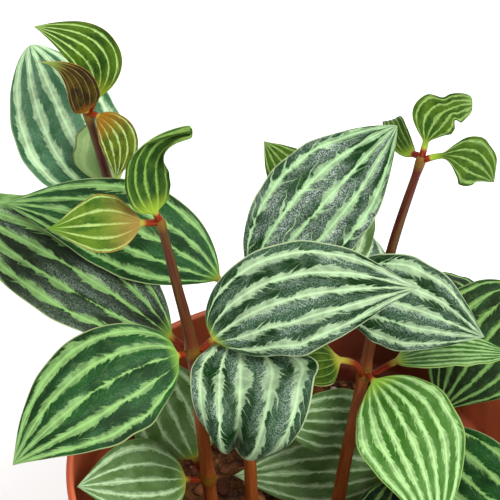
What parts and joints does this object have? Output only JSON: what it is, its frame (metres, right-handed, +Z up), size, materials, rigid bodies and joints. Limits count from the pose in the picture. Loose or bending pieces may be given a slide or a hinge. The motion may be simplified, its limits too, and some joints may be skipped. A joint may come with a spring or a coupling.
{
  "type": "potted foliage plant",
  "caption": "Small potted peperomia: upright reddish stems with pointed, light-striped green leaves, in potting mix in a tapered, banded terracotta-coloured plastic pot.",
  "frame": {"origin": "middle of the pot's underside", "axes": "+Z up along the pot's axis, -Y towards the plant's front, +X to the right seen from the front"},
  "size_m": [0.166, 0.16, 0.1982],
  "materials": {
    "pot": "satin",
    "potting_mix": "matte",
    "stem": "satin",
    "leaf": "satin"
  },
  "bodies": {
    "root": {"pot": "pot", "potting_mix": "potting_mix", "stem_left": "stem", "leaf_left_1": "leaf", "leaf_left_2": "leaf", "leaf_left_3": "leaf", "leaf_left_4": "leaf", "leaf_left_5": "leaf", "stem_front_left": "stem", "leaf_front_left_1": "leaf", "leaf_front_left_2": "leaf", "leaf_front_left_3": "leaf", "leaf_front_left_4": "leaf", "leaf_front_left_5": "leaf", "leaf_front_left_6": "leaf", "leaf_front_left_7": "leaf", "stem_centre": "stem", "leaf_centre_1": "leaf", "leaf_centre_2": "leaf", "leaf_centre_3": "leaf", "leaf_centre_4": "leaf", "stem_inner": "stem", "leaf_inner_1": "leaf", "leaf_inner_2": "leaf", "leaf_inner_3": "leaf", "leaf_inner_4": "leaf", "stem_right": "stem", "leaf_right_1": "leaf", "leaf_right_2": "leaf", "leaf_right_3": "leaf", "leaf_right_4": "leaf", "leaf_right_5": "leaf", "leaf_right_6": "leaf", "stem_back_right": "stem", "leaf_back_right_1": "leaf", "leaf_back_right_2": "leaf", "leaf_back_right_3": "leaf", "leaf_back_right_4": "leaf", "stem_back": "stem", "leaf_back_1": "leaf", "leaf_back_2": "leaf", "leaf_back_3": "leaf", "leaf_back_4": "leaf", "stem_low_right": "stem", "leaf_low_right_1": "leaf", "leaf_low_right_2": "leaf", "leaf_low_right_3": "leaf", "leaf_low_right_4": "leaf", "stem_low_left": "stem", "leaf_low_left_1": "leaf", "leaf_low_left_2": "leaf", "leaf_low_left_3": "leaf", "leaf_low_left_4": "leaf", "stem_front": "stem", "leaf_front_1": "leaf", "leaf_front_2": "leaf", "leaf_front_3": "leaf", "leaf_front_4": "leaf"}
  },
  "joints": []
}
